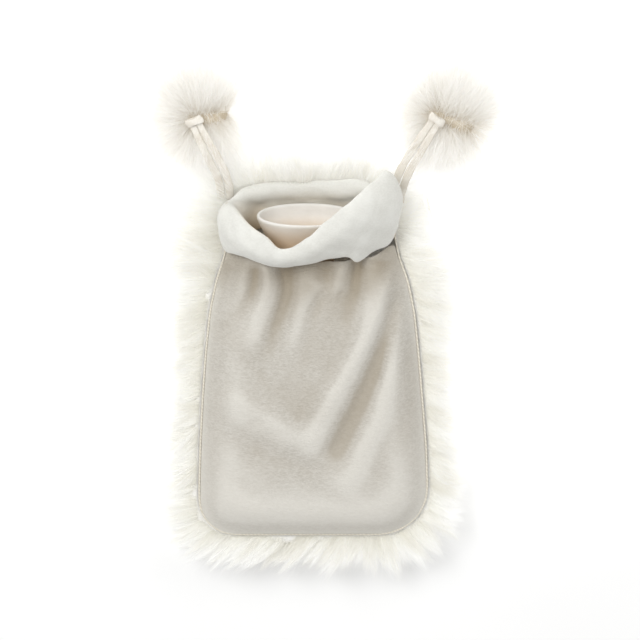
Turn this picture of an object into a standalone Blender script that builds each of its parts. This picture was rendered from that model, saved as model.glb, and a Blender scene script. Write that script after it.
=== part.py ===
# Hot water bottle in a fur-backed cover, lying on its back.
# Sizes are in millimetres and become metres where a mesh is made. +X is right, +Y the neck end, +Z up.

import math
from collections import namedtuple

import bmesh
import bpy
import numpy as np
from mathutils import Vector

MM = 0.001

# Driving sizes
CLOTH = 2.0  # thickness of the fleece
GAP = 0.5  # air between neighbouring pieces
BACK = 12.0  # fur back under the bottle, its pile pressed flat
CROWN = 60.0  # top of the fleece front over the bottle
FOOT = -150.0  # seam at the closed end
HEAD = 216.0  # top edge of the fur back, behind the neck
LEFT_CORNER = 40.0  # corner radii of the closed end
RIGHT_CORNER = 54.0
NECK_CORNER = 26.0
PANEL_TOP = 165.0  # where the fleece front passes under the cuff, at its sides
ROLL_OFF = 36.0  # width over which the fleece front turns down to the seam
SEAM_INSET = 3.6  # the fleece front's edge inside the seam line
ARCH = 3.0  # how much higher the fleece front's middle is than its shoulders
FRONT_COLUMNS = 29
FRONT_ROWS = 24
FOOT_ROWS = (0, 3, 8, 15, 24, 35)  # rows crowded where the fleece turns down at the closed end
OUTLINE_POINTS = 64
STRAP_WIDTH = 8.0
STRAP_THICK = 2.4
POMPOM_SIZE = (54.0, 54.0, 31.0)  # half width, half length, half height

# The side seams, from the closed end to the neck. height is the seam's own height above the table,
# pile how far the fur reaches past it.
Section = namedtuple("Section", "y left right height pile")
SEAM = [
    Section(-150, -122.0, 121.0, 33, 42),
    Section(-100, -122.0, 121.5, 33, 34),
    Section(-50, -120.0, 119.0, 33, 30),
    Section(0, -117.0, 114.5, 33, 30),
    Section(50, -113.0, 110.0, 33, 31),
    Section(95, -108.0, 105.0, 33, 35),
    Section(130, -100.5, 97.5, 33, 41),
    Section(155, -91.5, 87.5, 32, 47),
    Section(180, -89.0, 84.0, 27, 48),
    Section(200, -87.0, 80.0, 19, 42),
    Section(216, -84.0, 76.0, 15, 26),
]

# The fur back in section, from the middle outwards. In the tray reach is in millimetres from the seam
# and level a share of the wall's height; in the pile both are shares, of its reach and of the seam's
# height.
Step = namedtuple("Step", "reach level")
TRAY = [Step(-28, 0.0), Step(-18, 0.10), Step(-9, 0.38), Step(-4, 0.80), Step(-2.5, 1.0)]
PILE = [
    Step(0.0, 1.0),
    Step(0.22, 1.17),
    Step(0.50, 1.13),
    Step(0.80, 0.86),
    Step(0.96, 0.52),
    Step(1.0, 0.30),
    Step(0.93, 0.09),
    Step(0.80, 0.0),
]

# Folds of the fleece front: a bent line from start through mid to end, its half width, and how far
# the cloth stands up (or sinks, below zero) at its two ends.
Fold = namedtuple("Fold", "start mid end width rise_start rise_end")
FOLDS = [
    Fold((-82, 138), (-86, 109), (-94, 83), 8, -5.0, -1.5),
    Fold((-68, 152), (-72, 124), (-82, 93), 8, 6.0, 2.0),
    Fold((-57, 149), (-62, 119), (-76, 89), 7, -5.0, -1.5),
    Fold((-49, 155), (-42, 124), (-61, 70), 9, 7.5, 3.0),
    Fold((-27, 153), (-25, 114), (-41, 62), 10, -7.0, -2.5),
    Fold((-7, 138), (-18, 93), (-33, 62), 13, 5.0, 1.5),
    Fold((14, 150), (6, 114), (-14, 51), 12, -3.0, -2.0),
    Fold((30, 152), (20, 114), (2, 62), 9, 4.0, 1.5),
    Fold((45, 152), (40, 124), (32, 93), 8, -9.0, -2.0),
    Fold((62, 152), (54, 124), (44, 98), 9, 3.5, 1.0),
    Fold((74, 130), (42, 44), (1, -30), 11, 5.5, 6.0),
    Fold((82, 112), (60, 46), (24, -46), 11, -4.5, -5.5),
    Fold((94, 92), (74, 9), (36, -79), 12, 4.0, 4.0),
    Fold((86, 142), (99, 93), (104, 30), 9, -4.0, -1.5),
    Fold((-98, 12), (-54, -18), (-9, -39), 15, 2.0, 3.5),
    Fold((-103, -18), (-65, -44), (-14, -66), 15, -2.5, -2.0),
    Fold((-108, -77), (-94, -99), (-55, -115), 13, 2.0, 2.0),
]

# The cuff, once round the neck from its left corner over the front: the cloth inside the neck, the
# rim, the fullest point of the turned-down cloth, and its hem.
Cuff = namedtuple("Cuff", "throat rim swell hem")
CUFF = [
    Cuff((-72, 192, 43), (-84, 211, 49), (-95, 197, 51), (-88, 163, 44)),
    Cuff((-67, 182, 60), (-77, 208, 66), (-88, 186, 72), (-80, 161, 57)),
    Cuff((-58, 175, 71), (-62, 195, 79), (-72, 174, 83), (-66, 160, 66)),
    Cuff((-46, 170, 76), (-46, 184, 84), (-52, 167, 87), (-51, 154, 68)),
    Cuff((-30, 165, 79), (-31, 171, 88), (-33, 160, 88), (-32, 151, 70)),
    Cuff((-10, 169, 82), (-8, 183, 93), (-10, 167, 94), (-11, 154, 72)),
    Cuff((12, 176, 84), (12, 203, 94), (14, 180, 97), (12, 159, 73)),
    Cuff((33, 184, 80), (33, 220, 90), (38, 195, 95), (34, 161, 71)),
    Cuff((45, 189, 73), (47, 231, 81), (55, 204, 89), (43, 153, 65)),
    Cuff((55, 196, 64), (60, 241, 70), (72, 211, 77), (60, 164, 59)),
    Cuff((62, 202, 51), (69, 248, 59), (86, 216, 63), (76, 169, 49)),
    Cuff((62, 200, 34), (70, 233, 43), (84, 223, 46), (81, 190, 39)),
    Cuff((47, 203, 19), (50, 214, 28), (54, 222, 28), (56, 225, 23)),
    Cuff((0, 204, 18), (0, 214, 26), (0, 222, 27), (0, 226, 22)),
    Cuff((-50, 202, 19), (-50, 213, 28), (-54, 220, 28), (-57, 224, 23)),
    Cuff((-66, 194, 28), (-72, 210, 37), (-81, 213, 40), (-84, 206, 35)),
]
CUFF_STATIONS = 42
CUFF_PROFILE = 10
NECK_RING = {"x": -4.0, "y": 168.0, "z": 40.5, "half_width": 76.0, "half_height": 25.5, "tilt": 12.0}

# The bottle, from its foot to the rim of the funnel and back down inside. lean turns a section's
# upper edge towards the foot, in degrees; square is 2 for an oval and more for a fuller outline.
Ring = namedtuple("Ring", "y z half_width half_height square lean")
BOTTLE = [
    Ring(-130, 34, 74, 3, 2.4, 0),
    Ring(-127, 34, 84, 7, 2.4, 0),
    Ring(-118, 34, 93, 11, 2.4, 0),
    Ring(-100, 34, 98, 14, 2.3, 0),
    Ring(-56, 34, 99, 16, 2.2, 0),
    Ring(24, 34, 97, 16, 2.2, 0),
    Ring(74, 34, 92, 15, 2.2, 0),
    Ring(102, 34, 80, 14, 2.2, 0),
    Ring(118, 34, 60, 13, 2.1, 2),
    Ring(130, 35, 38, 13, 2.0, 4),
    Ring(141, 36, 27, 13, 2.0, 7),
    Ring(154, 39, 27, 15, 2.0, 9),
    Ring(170, 43, 37, 21, 2.1, 11),
    Ring(186, 47.5, 46, 26, 2.1, 11),
    Ring(194, 49.4, 48.6, 27.6, 2.1, 11),
    Ring(196.5, 50, 49.6, 28.6, 2.1, 11),
    Ring(198.5, 50.4, 49.3, 28.3, 2.1, 11),
    Ring(199.3, 50.5, 46.8, 26.6, 2.1, 11),
    Ring(197.5, 50.1, 45.6, 25.2, 2.1, 11),
    Ring(188, 48, 43.4, 23.4, 2.1, 11),
    Ring(185.5, 47.4, 40.0, 20.6, 2.1, 11),
    Ring(174, 44, 32.5, 16.5, 2.1, 11),
    Ring(160, 40.5, 21, 11, 2.0, 10),
]
BOTTLE_X = -7.0
BOTTLE_SIDES = 32

# Where each tie runs, from the neck seam to its pompom.
TIE_ROUTES = {
    "left": [
        (-88, 209, 25),
        (-88, 220, 30),
        (-92, 238, 38),
        (-101, 258, 44),
        (-110, 277, 47),
        (-118, 295, 48),
    ],
    "right": [
        (86, 208, 26),
        (86, 220, 31),
        (90, 239, 39),
        (100, 259, 45),
        (111, 278, 48),
        (123, 297, 49),
    ],
}
POMPOM_CENTRES = {"left": (-112.0, 291.0), "right": (136.0, 288.0)}
TIE_SPREAD = 4.4  # half the distance between the two straps of a tie
TIE_POINTS = 11
KNOT_AT = 0.9  # share of the tie's route


def material(name, colour, roughness):
    made = bpy.data.materials.new(name)
    made.use_nodes = True
    shader = made.node_tree.nodes["Principled BSDF"]
    shader.inputs["Base Color"].default_value = (*colour, 1.0)
    shader.inputs["Roughness"].default_value = roughness
    shader.inputs["Metallic"].default_value = 0.0
    return made


def add_object(name, data, finish, collection):
    made = bpy.data.objects.new(name, data)
    data.materials.append(finish)
    collection.objects.link(made)
    return made


def column(rows, name):
    return np.array([getattr(row, name) for row in rows], float)


def along_seam(name, y):
    return np.interp(y, column(SEAM, "y"), column(SEAM, name))


def through(points, count, closed=False):
    """Points on a smooth curve through the given ones."""
    known = np.array(points, float)
    total = len(known) if closed else len(known) - 1
    made = []
    for share in np.linspace(0, total, count, endpoint=not closed):
        i = min(int(share), total - 1)
        t = share - i
        at = [i - 1, i, i + 1, i + 2]
        if closed:
            at = [k % len(known) for k in at]
        else:
            at = [min(max(k, 0), len(known) - 1) for k in at]
        a, b, c, d = known[at]
        made.append(
            0.5 * (2 * b + (c - a) * t + (2 * a - 5 * b + 4 * c - d) * t**2 + (3 * b - a - 3 * c + d) * t**3)
        )
    return np.array(made)


def corner(x, y, radius, first, last):
    """Points on a quarter arc about (x, y), between two angles in degrees."""
    turn = np.radians(np.linspace(first, last, 10))
    return [(x + radius * math.cos(a), y + radius * math.sin(a)) for a in turn]


def seam_outline():
    """The seam seen from above, anticlockwise and evenly spaced."""
    left, right = along_seam("left", FOOT), along_seam("right", FOOT)
    top_left, top_right = along_seam("left", HEAD), along_seam("right", HEAD)
    rising = [s for s in SEAM if FOOT + RIGHT_CORNER < s.y < HEAD - NECK_CORNER]
    falling = [s for s in reversed(SEAM) if FOOT + LEFT_CORNER < s.y < HEAD - NECK_CORNER]
    points = (
        corner(left + LEFT_CORNER, FOOT + LEFT_CORNER, LEFT_CORNER, 180, 270)
        + corner(right - RIGHT_CORNER, FOOT + RIGHT_CORNER, RIGHT_CORNER, 270, 360)
        + [(s.right, s.y) for s in rising]
        + corner(top_right - NECK_CORNER, HEAD - NECK_CORNER, NECK_CORNER, 0, 90)
        + corner(top_left + NECK_CORNER, HEAD - NECK_CORNER, NECK_CORNER, 90, 180)
        + [(s.left, s.y) for s in falling]
    )
    loop = np.array(points + points[:1])
    walked = np.concatenate([[0], np.cumsum(np.linalg.norm(np.diff(loop, axis=0), axis=1))])
    at = np.linspace(0, walked[-1], OUTLINE_POINTS, endpoint=False)
    even = np.stack([np.interp(at, walked, loop[:, k]) for k in range(2)], axis=1)
    return 0.25 * np.roll(even, 1, axis=0) + 0.5 * even + 0.25 * np.roll(even, -1, axis=0)


def outward(outline):
    """Unit normals of an anticlockwise outline."""
    run = np.roll(outline, -1, axis=0) - np.roll(outline, 1, axis=0)
    normal = np.stack([run[:, 1], -run[:, 0]], axis=1)
    return normal / np.linalg.norm(normal, axis=1)[:, None]


def inside_by(points, outline):
    """How far points inside the outline are from it."""
    nearest = np.full(len(points), np.inf)
    for start, end in zip(outline, np.roll(outline, -1, axis=0)):
        run = end - start
        t = np.clip(((points - start) @ run) / (run @ run), 0, 1)
        nearest = np.minimum(nearest, np.linalg.norm(points - start - t[:, None] * run, axis=1))
    return nearest


def loft(name, rings, cap_first, cap_last):
    """A closed skin over rings of points, as a mesh."""
    work = bmesh.new()
    loops = [[work.verts.new(Vector(p) * MM) for p in ring] for ring in rings]
    for lower, upper in zip(loops, loops[1:]):
        for k in range(len(lower)):
            after = (k + 1) % len(lower)
            work.faces.new((lower[k], lower[after], upper[after], upper[k]))
    if cap_first:
        work.faces.new(reversed(loops[0]))
    if cap_last:
        work.faces.new(loops[-1])
    bmesh.ops.recalc_face_normals(work, faces=work.faces)
    mesh = bpy.data.meshes.new(name)
    work.to_mesh(mesh)
    work.free()
    mesh.shade_smooth()
    return mesh


def cloth_mesh(name, points, closed):
    """An open sheet over rows of points; closed joins each row's ends."""
    rows, columns = points.shape[:2]
    work = bmesh.new()
    grid = [[work.verts.new(Vector(p) * MM) for p in row] for row in points]
    for i in range(rows - 1):
        for k in range(columns if closed else columns - 1):
            after = (k + 1) % columns
            work.faces.new((grid[i][k], grid[i][after], grid[i + 1][after], grid[i + 1][k]))
    mesh = bpy.data.meshes.new(name)
    work.to_mesh(mesh)
    work.free()
    mesh.shade_smooth()
    return mesh


def thicken(obj, thickness):
    """The sheet is the cloth's outer face, so its thickness goes inwards."""
    wall = obj.modifiers.new("thickness", "SOLIDIFY")
    wall.thickness = thickness * MM
    wall.offset = -1


def build_back(outline, finish, collection):
    """The fur back: a tray whose rim is the seam, as thick as its pile."""
    normal = outward(outline)
    height = along_seam("height", outline[:, 1])
    pile = along_seam("pile", outline[:, 1])

    def ring(reach, level):
        xy = outline + normal * reach[:, None]
        return np.column_stack([xy, level])

    same = np.ones(len(outline))
    rings = [ring(row.reach * same, BACK + (height - BACK) * row.level) for row in TRAY]
    rings += [ring(row.reach * pile, height * row.level) for row in PILE]
    return add_object("back_panel", loft("back_panel", rings, True, True), finish, collection)


def fold_height(points):
    """What the folds add to the fleece front at each point."""
    added = np.zeros(len(points))
    for fold in FOLDS:
        line = through([fold.start, fold.mid, fold.end], 25)
        away = np.linalg.norm(points[:, None] - line[None], axis=2)
        share = away.argmin(axis=1) / (len(line) - 1)
        rise = fold.rise_start + (fold.rise_end - fold.rise_start) * share
        added += rise * np.exp(-((away.min(axis=1) / fold.width) ** 2))
    return added


def side_limit(y, side):
    """The seam's x at a height y on one side, with the closed end's round corner."""
    radius = LEFT_CORNER if side == "left" else RIGHT_CORNER
    limit = float(along_seam(side, y))
    below = FOOT + radius - y
    if below > 0:
        turn_in = radius - math.sqrt(max(radius**2 - below**2, 0.0))
        limit += turn_in if side == "left" else -turn_in
    return limit


def build_front(outline, finish, collection):
    """The fleece front: a sheet that rolls down to the seam all round, with its folds."""
    near_foot = [FOOT + SEAM_INSET + step for step in FOOT_ROWS]
    rows = near_foot + list(np.linspace(near_foot[-1] + 10, PANEL_TOP, FRONT_ROWS))
    even = np.linspace(-1, 1, FRONT_COLUMNS)
    across = 0.7 * even + 0.3 * np.sin(even * math.pi / 2)
    points = []
    for y in rows:
        left, right = side_limit(y, "left") + SEAM_INSET, side_limit(y, "right") - SEAM_INSET
        points.append([((left + right) / 2 + share * (right - left) / 2, y) for share in across])
    flat = np.array(points).reshape(-1, 2)
    near_neck = np.clip((flat[:, 1] - 60) / (PANEL_TOP - 60), 0, 1) ** 2
    across_neck = np.clip((flat[:, 0] - NECK_RING["x"]) / NECK_RING["half_width"], -1, 1)
    flat[:, 1] -= near_neck * NECK_RING["tilt"] * np.sqrt(1 - across_neck**2)
    depth = np.clip((inside_by(flat, outline) - SEAM_INSET) / ROLL_OFF, 0, 1)
    edge = along_seam("height", flat[:, 1]) + GAP + CLOTH
    edge = np.maximum(edge, SEAM[0].height + CLOTH)
    half_width = (SEAM[0].right - SEAM[0].left) / 2
    top = CROWN - CLOTH + ARCH * np.cos(np.clip(flat[:, 0] / half_width, -1, 1) * math.pi / 2)
    level = edge + (top - edge) * np.sin(depth * math.pi / 2) ** 0.9 + fold_height(flat) * depth**1.2
    sheet = np.column_stack([flat, level]).reshape(len(rows), len(across), 3)
    front = add_object("front_panel", cloth_mesh("front_panel", sheet, False), finish, collection)
    thicken(front, CLOTH)
    return front


def build_cuff(finish, collection):
    """The cuff: cloth that rises inside the neck, turns over its rim and hangs down outside."""
    lines = [through([row[k] for row in CUFF], CUFF_STATIONS, closed=True) for k in range(len(Cuff._fields))]
    profiles = []
    for throat, rim, swell, hem in zip(*lines):
        turn = math.atan2(
            (rim[2] - NECK_RING["z"]) / NECK_RING["half_height"],
            (rim[0] - NECK_RING["x"]) / NECK_RING["half_width"],
        )
        foot = np.array([
            NECK_RING["x"] + NECK_RING["half_width"] * math.cos(turn),
            NECK_RING["y"] - NECK_RING["tilt"] * math.sin(turn),
            NECK_RING["z"] + NECK_RING["half_height"] * math.sin(turn),
        ])
        profiles.append(through([foot, throat, rim, swell, hem], CUFF_PROFILE))
    sheet = np.array(profiles).transpose(1, 0, 2)
    cuff = add_object("cuff", cloth_mesh("cuff", sheet, True), finish, collection)
    thicken(cuff, CLOTH)
    return cuff


def build_bottle(finish, collection):
    """The rubber bottle: a flat body, its neck, and an oval funnel that is open inside."""
    rings = []
    for row in BOTTLE:
        ring = []
        for a in np.linspace(0, 2 * math.pi, BOTTLE_SIDES, endpoint=False):
            c, s = math.cos(a), math.sin(a)
            power = 2 / row.square
            x = row.half_width * math.copysign(abs(c) ** power, c)
            up = row.half_height * math.copysign(abs(s) ** power, s)
            lean = math.radians(row.lean)
            ring.append((BOTTLE_X + x, row.y - up * math.sin(lean), row.z + up * math.cos(lean)))
        rings.append(ring)
    return add_object("bottle", loft("bottle", rings, True, True), finish, collection)


def strap_profile(collection):
    """The flat oval section that every strap is drawn along."""
    outline = bpy.data.curves.new("strap_profile", "CURVE")
    outline.dimensions = "2D"
    spline = outline.splines.new("POLY")
    spline.points.add(7)
    for k, point in enumerate(spline.points):
        a = -2 * math.pi * k / 8
        point.co = (STRAP_WIDTH / 2 * math.cos(a) * MM, STRAP_THICK / 2 * math.sin(a) * MM, 0, 1)
    spline.use_cyclic_u = True
    guide = bpy.data.objects.new("strap_profile", outline)
    guide.hide_render = True
    guide.display_type = "WIRE"
    collection.objects.link(guide)
    return guide


def build_strap(name, route, profile, finish, collection):
    path = bpy.data.curves.new(name, "CURVE")
    path.dimensions = "3D"
    path.twist_mode = "Z_UP"
    path.bevel_mode = "OBJECT"
    path.bevel_object = profile
    path.use_fill_caps = True
    spline = path.splines.new("POLY")
    spline.points.add(len(route) - 1)
    for point, place in zip(spline.points, route):
        point.co = (*(place * MM), 1)
    return add_object(name, path, finish, collection)


def build_knot(name, route, finish, collection):
    """A turn of strap round both straps of a tie, where they enter the pompom."""
    at = int(KNOT_AT * (len(route) - 1))
    centre, run = route[at], route[at + 1] - route[at - 1]
    bpy.ops.mesh.primitive_torus_add(
        major_segments=16, minor_segments=6, major_radius=11.8 * MM, minor_radius=2.1 * MM
    )
    knot = bpy.context.object
    knot.name = knot.data.name = name
    # across, through and along the straps: the ring is pressed flat round them
    for v in knot.data.vertices:
        v.co.y *= 0.48
        v.co.z *= 1.5
    lying = Vector(run).to_track_quat("Z", "Y")
    knot.rotation_mode = "QUATERNION"
    knot.rotation_quaternion = lying
    knot.location = Vector(centre) * MM
    knot.data.materials.append(finish)
    for owner in list(knot.users_collection):
        owner.objects.unlink(knot)
    collection.objects.link(knot)
    return knot


def build_pompom(name, centre, route, finish, collection):
    """A ball of fur with a flat spot underneath and a hollow on top where its tie goes in."""
    work = bmesh.new()
    bmesh.ops.create_uvsphere(work, u_segments=24, v_segments=13, radius=1.0)
    half = np.array(POMPOM_SIZE)
    for v in work.verts:
        x, y, z = v.co
        lobes = 1 + 0.05 * math.sin(3 * math.atan2(y, x) + centre[0]) * (1 - z * z)
        lobes += 0.03 * math.sin(5 * z + 2 * x)
        place = np.array([x, y, z]) * half * lobes + np.array([centre[0], centre[1], half[2] - 3])
        away = np.linalg.norm(route[:, :2] - place[:2], axis=1)
        over = route[away.argmin(), 2] - 8 + 20 * max(away.min() / 17 - 0.6, 0) ** 2
        place[2] = max(min(place[2], over), 0.0)
        v.co = Vector(place) * MM
    bmesh.ops.remove_doubles(work, verts=work.verts, dist=0.0002)
    bmesh.ops.recalc_face_normals(work, faces=work.faces)
    mesh = bpy.data.meshes.new(name)
    work.to_mesh(mesh)
    work.free()
    mesh.shade_smooth()
    return add_object(name, mesh, finish, collection)


def move_to_origin(collection, on_ties):
    """Puts the cover without its ties over the origin, standing on z = 0."""
    bpy.context.view_layer.update()
    graph = bpy.context.evaluated_depsgraph_get()
    corners = []
    for obj in collection.objects:
        if obj.name not in on_ties:
            shown = obj.evaluated_get(graph)
            corners += [shown.matrix_world @ Vector(c) for c in shown.bound_box]
    low = Vector([min(c[k] for c in corners) for k in range(3)])
    high = Vector([max(c[k] for c in corners) for k in range(3)])
    shift = Vector((-(low.x + high.x) / 2, -(low.y + high.y) / 2, -low.z))
    for obj in collection.objects:
        obj.location += shift


def main():
    for obj in list(bpy.data.objects):
        bpy.data.objects.remove(obj)
    cover = bpy.data.collections.new("hot_water_bottle_cover")
    guides = bpy.data.collections.new("guides")
    for collection in (cover, guides):
        bpy.context.scene.collection.children.link(collection)

    fleece = material("cream_fleece", (0.70, 0.66, 0.59), 0.9)
    lining = material("ivory_lining", (0.86, 0.84, 0.79), 0.85)
    fur = material("white_fur", (0.93, 0.92, 0.88), 0.8)
    rubber = material("cream_rubber", (0.78, 0.74, 0.66), 0.45)
    suede = material("cream_suede", (0.83, 0.79, 0.71), 0.8)

    outline = seam_outline()
    build_back(outline, fur, cover)
    build_front(outline, fleece, cover)
    build_cuff(lining, cover)
    build_bottle(rubber, cover)

    profile = strap_profile(guides)
    on_ties = set()
    for side, points in TIE_ROUTES.items():
        route = through(points, TIE_POINTS)
        run = np.gradient(route, axis=0)
        sideways = np.column_stack([run[:, 1], -run[:, 0], 0 * run[:, 0]])
        sideways /= np.linalg.norm(sideways, axis=1)[:, None]
        for strap, sign in (("outer", -1), ("inner", 1)):
            name = f"tie_{side}_{strap}"
            build_strap(name, route + sideways * TIE_SPREAD * sign, profile, suede, cover)
            on_ties.add(name)
        on_ties.add(build_knot(f"knot_{side}", route, suede, cover).name)
        fine_route = through(points, 60)
        on_ties.add(build_pompom(f"pompom_{side}", POMPOM_CENTRES[side], fine_route, fur, cover).name)
    move_to_origin(cover, on_ties)


main()
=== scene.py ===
import math

import bmesh
import bpy
import numpy as np
from mathutils import Matrix, Vector


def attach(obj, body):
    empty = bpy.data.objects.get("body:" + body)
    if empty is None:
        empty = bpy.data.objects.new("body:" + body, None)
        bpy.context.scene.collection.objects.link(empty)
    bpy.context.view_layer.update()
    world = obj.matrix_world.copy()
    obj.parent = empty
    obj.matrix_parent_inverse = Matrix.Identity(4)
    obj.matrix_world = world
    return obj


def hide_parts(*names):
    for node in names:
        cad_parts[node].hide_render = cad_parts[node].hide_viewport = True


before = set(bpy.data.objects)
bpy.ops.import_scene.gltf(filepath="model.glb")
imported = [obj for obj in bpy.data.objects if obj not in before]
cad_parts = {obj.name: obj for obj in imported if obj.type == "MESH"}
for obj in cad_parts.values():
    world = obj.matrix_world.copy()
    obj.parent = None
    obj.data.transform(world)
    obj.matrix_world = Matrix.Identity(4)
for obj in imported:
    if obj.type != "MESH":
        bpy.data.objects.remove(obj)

# A hot water bottle in its cover: fleece in front, long white fur behind, a cuff turned down at
# the neck and two fur pompoms on ties. It lies on its back, neck towards +Y.

scene = bpy.context.scene
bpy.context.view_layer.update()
mm = 0.001


def log(text):
    print("[cover]", text)


# Camera, light and floor
cameraLook = {"lens": 120, "distance": 2.132, "tilt": 16, "aim": (0.0079, 0.0646, 0.060)}
studio = {
    "worldLight": 0.58,
    "key": {"at": (-0.95, 1.0, 1.7), "power": 23, "size": 1.2},
    "fill": {"at": (0.6, -1.3, 1.6), "power": 7, "size": 1.6},
    "rim": {"at": (1.0, 1.5, 1.2), "power": 10, "size": 1.4},
    "floorColour": (0.92, 0.92, 0.915),
    "floorPale": (0.955, 0.955, 0.95),
    # the floor's own light towards the foot and the head, and the y in metres between which it grows
    "floorGlow": {"foot": 0.0, "head": 0.36, "from": -0.24, "to": -0.02},
    "floorHalf": 4.0,
}


def placeCamera(look):
    tilt = math.radians(look["tilt"])
    back = Vector((0, math.sin(tilt), math.cos(tilt)))
    up = Vector((0, math.cos(tilt), -math.sin(tilt)))
    data = bpy.data.cameras.new("camera")
    data.lens = look["lens"]
    data.sensor_width = 36
    camera = bpy.data.objects.new("camera", data)
    turned = Matrix((Vector((1, 0, 0)), up, back)).transposed().to_4x4()
    turned.translation = Vector(look["aim"]) + back * look["distance"]
    camera.matrix_world = turned
    scene.collection.objects.link(camera)
    scene.camera = camera


def areaLight(name, at, power, size):
    data = bpy.data.lights.new(name, "AREA")
    data.energy = power
    data.shape = "DISK"
    data.size = size
    lamp = bpy.data.objects.new(name, data)
    lamp.location = at
    lamp.rotation_euler = (Vector((0, 0, 0.03)) - Vector(at)).to_track_quat("-Z", "Y").to_euler()
    scene.collection.objects.link(lamp)


placeCamera(cameraLook)
areaLight("key", **studio["key"])
areaLight("fill", **studio["fill"])
areaLight("rim", **studio["rim"])
world = bpy.data.worlds.new("studio")
world.use_nodes = True
world.node_tree.nodes["Background"].inputs["Color"].default_value = (1, 1, 1, 1)
world.node_tree.nodes["Background"].inputs["Strength"].default_value = studio["worldLight"]
scene.world = world
scene.view_settings.view_transform = "Standard"
log("camera and lights")


# Shader helpers
class Wire:
    # a node's output that can be added and multiplied
    def __init__(self, finish, socket):
        self.finish = finish
        self.socket = socket

    def sum(self, operation, a, b):
        # one maths node on two outputs or numbers
        return self.finish.node("ShaderNodeMath", {"operation": operation}, {0: a, 1: b})

    def __add__(self, other):
        return self.sum("ADD", self, other)

    def __mul__(self, other):
        return self.sum("MULTIPLY", self, other)


class Finish:
    # a material that is built up node by node
    def __init__(self, name):
        self.material = bpy.data.materials.new(name)
        self.material.use_nodes = True
        self.tree = self.material.node_tree
        self.tree.nodes.clear()
        self.output = self.tree.nodes.new("ShaderNodeOutputMaterial")

    def node(self, kind, settings=None, inputs=None, output=0):
        # any node with its settings, what goes into it, and the output that is wanted
        made = self.tree.nodes.new(kind)
        for key, value in (settings or {}).items():
            if key == "stops":
                ramp = made.color_ramp
                while len(ramp.elements) < len(value):
                    ramp.elements.new(0.5)
                for element, (place, colour) in zip(ramp.elements, value):
                    element.position = place
                    element.color = colour if len(colour) == 4 else (*colour, 1)
            else:
                setattr(made, key, value)
        for key, value in (inputs or {}).items():
            socket = self.socketOf(made.inputs, key)
            if isinstance(value, Wire):
                self.tree.links.new(value.socket, socket)
            elif hasattr(value, "__len__") and len(value) == 3 and socket.type == "RGBA":
                socket.default_value = (*value, 1)
            else:
                socket.default_value = value
        return Wire(self, self.socketOf(made.outputs, output))

    @staticmethod
    def socketOf(sockets, key):
        if isinstance(key, int):
            return sockets[key]
        for socket in sockets:
            if socket.identifier == key:
                return socket
        return sockets[key]

    def place(self, scale=(1, 1, 1)):
        # where on the object a point lies, stretched along x, y or z
        where = self.node("ShaderNodeTexCoord", output="Object")
        return self.node("ShaderNodeMapping", None, {"Vector": where, "Scale": scale})

    def painted(self, name):
        # a value painted on the mesh's points
        return self.node("ShaderNodeAttribute", {"attribute_name": name}, None, "Fac")

    def noise(self, vector, scale, detail=3.0, roughness=0.5):
        return self.node(
            "ShaderNodeTexNoise", None,
            {"Vector": vector, "Scale": scale, "Detail": detail, "Roughness": roughness}, "Fac",
        )

    def spread(self, value, low, high, start=0.0, end=1.0):
        # a value's range from low to high, eased into start to end
        return self.node(
            "ShaderNodeMapRange", {"interpolation_type": "SMOOTHSTEP"},
            {"Value": value, "From Min": low, "From Max": high, "To Min": start, "To Max": end},
        )

    def mix(self, factor, a, b):
        return self.node(
            "ShaderNodeMix", {"data_type": "RGBA"},
            {"Factor_Float": factor, "A_Color": a, "B_Color": b}, "Result_Color",
        )

    def bump(self, height, distance, strength=1.0):
        return self.node(
            "ShaderNodeBump", None, {"Height": height, "Distance": distance, "Strength": strength}
        )

    def surface(self, shader):
        self.tree.links.new(shader.socket, self.output.inputs["Surface"])
        return self.material


fleeceTones = {
    "low": (0.468, 0.441, 0.388), "high": (0.576, 0.551, 0.500), "drift": (0.56, 0.525, 0.465),
    "hollow": (0.37, 0.325, 0.255), "ridgeLight": (0.72, 0.70, 0.645), "underCuffShadow": (0.285, 0.235, 0.165),
}


def fleeceFinish():
    # brushed jersey, slightly pilled, its nap lying across; painted shade in its folds and under the cuff,
    # painted light on its ridges and edges
    f = Finish("creamFleece")
    nubs = f.noise(f.place((1.0, 2.8, 1.0)), 330, 2.0, 0.6)
    knots = f.noise(f.place((1.0, 2.2, 1.0)), 150, 3.0, 0.6)
    drift = f.noise(f.place(), 16, 3.0)
    tone = f.spread(nubs * 0.6 + knots * 0.4, 0.36, 0.64)
    base = f.mix(tone, fleeceTones["low"], fleeceTones["high"])
    base = f.mix(f.spread(drift, 0.35, 0.65, 0.0, 0.25), base, fleeceTones["drift"])
    # the painted values: painted shade in the hollows and under the cuff, painted light on the ridges
    fold, shade = f.painted("fold"), f.painted("shade")
    base = f.mix(f.spread(fold, 0.5, 0.0, 0.0, 0.62), base, fleeceTones["hollow"])
    base = f.mix(f.spread(fold, 0.5, 1.0, 0.0, 0.60), base, fleeceTones["ridgeLight"])
    base = f.mix(shade, base, fleeceTones["underCuffShadow"])
    relief = f.bump(nubs * 0.7 + knots * 0.5, 0.0011, 0.75)
    return f.surface(f.node("ShaderNodeBsdfPrincipled", None, {
        "Base Color": base, "Roughness": 0.95, "Specular IOR Level": 0.15,
        "Sheen Weight": 0.2, "Sheen Roughness": 0.6, "Normal": relief,
    }))


cuffTones = {
    "low": (0.635, 0.63, 0.585), "high": (0.70, 0.698, 0.655), "fuzz": (0.745, 0.74, 0.70),
    "hollow": (0.56, 0.52, 0.44), "insideNeckShade": (0.64, 0.52, 0.36),
}


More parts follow.
